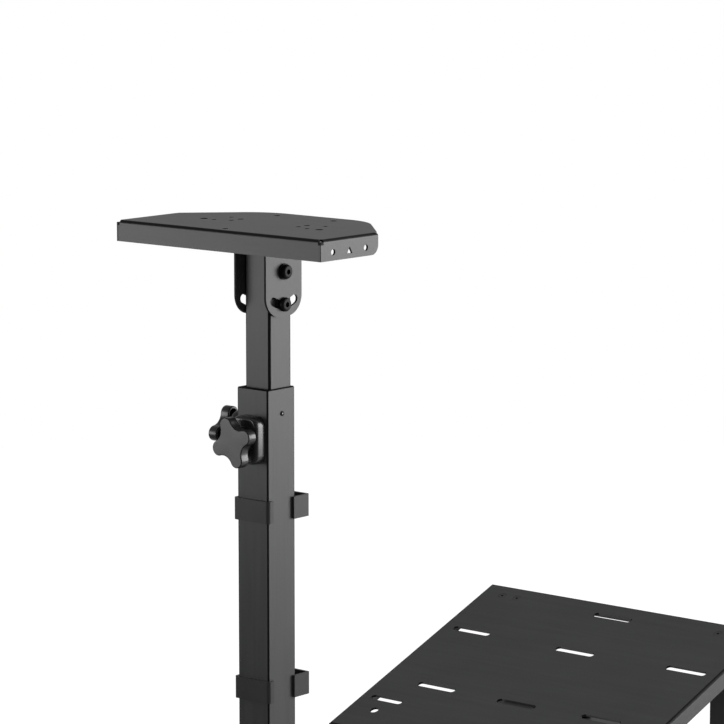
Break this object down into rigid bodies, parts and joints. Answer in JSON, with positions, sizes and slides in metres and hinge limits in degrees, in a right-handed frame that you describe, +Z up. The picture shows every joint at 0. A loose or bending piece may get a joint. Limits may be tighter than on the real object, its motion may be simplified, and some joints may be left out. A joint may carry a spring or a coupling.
{
  "type": "racing wheel stand",
  "caption": "Black steel racing wheel stand: a tilting wheel deck on a telescoping square column, with clamp knobs, cable clips and a sloping slotted pedal tray.",
  "frame": {"origin": "on the floor, at the middle of the floor frame", "axes": "+X to the driver's right, +Y from the driver towards the pedals, +Z up"},
  "size_m": [0.466, 0.735, 0.661],
  "materials": {
    "black_steel": "satin powder coat",
    "black_bolt": "blackened steel",
    "black_nylon": "moulded nylon",
    "cap_plastic": "moulded, fine grain",
    "clip_plastic": "moulded, satin",
    "knob_plastic": "moulded, half gloss",
    "foot_rubber": "matt rubber"
  },
  "bodies": {
    "base": {"outer_tube": "black_steel", "column_foot_plate": "black_steel", "column_gussets": "black_steel", "main_beam": "black_steel", "rear_crossbar": "black_steel", "front_crossbar": "black_steel", "rear_joint_plate": "black_steel", "front_joint_plate": "black_steel", "left_upright": "black_steel", "right_upright": "black_steel", "pedal_plate": "black_steel", "plate_saddle": "black_steel", "tube_rivet": "black_bolt", "column_foot_bolts": "black_bolt", "rear_joint_bolts": "black_bolt", "front_joint_bolts": "black_bolt", "plate_screws": "black_bolt", "saddle_bolt": "black_bolt", "saddle_nut": "black_bolt", "rear_bar_caps": "cap_plastic", "front_bar_caps": "cap_plastic", "upper_cable_clip": "clip_plastic", "lower_cable_clip": "clip_plastic", "front_knob_collar": "knob_plastic", "left_knob_collar": "knob_plastic", "rear_feet": "foot_rubber", "front_feet": "foot_rubber"},
    "mast": {"inner_tube": "black_steel", "inner_tube_cap": "cap_plastic", "pivot_bolt": "black_bolt", "pivot_nut": "black_bolt", "pivot_washers": "black_bolt", "pivot_spacers": "black_nylon", "lock_bolt": "black_bolt", "lock_nut": "black_bolt", "lock_spacer": "black_nylon"},
    "deck": {"wheel_deck": "black_steel", "tilt_bracket": "black_steel"},
    "front_knob": {"front_knob": "knob_plastic"},
    "left_knob": {"left_knob": "knob_plastic"}
  },
  "joints": [
    {"name": "mast_slide", "type": "slide", "parent": "base", "child": "mast", "axis": [0, 0, 1], "range_m": [-0.06, 0.206]},
    {"name": "deck_tilt", "type": "hinge", "parent": "mast", "child": "deck", "pos_m": [0.0017, -0.2358, 0.6156], "axis": [1, 0, 0], "range_deg": [-28, 28]},
    {"name": "front_knob_turn", "type": "hinge", "parent": "base", "child": "front_knob", "pos_m": [0, -0.2575, 0.4512], "axis": [0, -1, 0], "range_deg": [0, 360]},
    {"name": "left_knob_turn", "type": "hinge", "parent": "base", "child": "left_knob", "pos_m": [-0.02, -0.2375, 0.4512], "axis": [-1, 0, 0], "range_deg": [0, 360]}
  ]
}
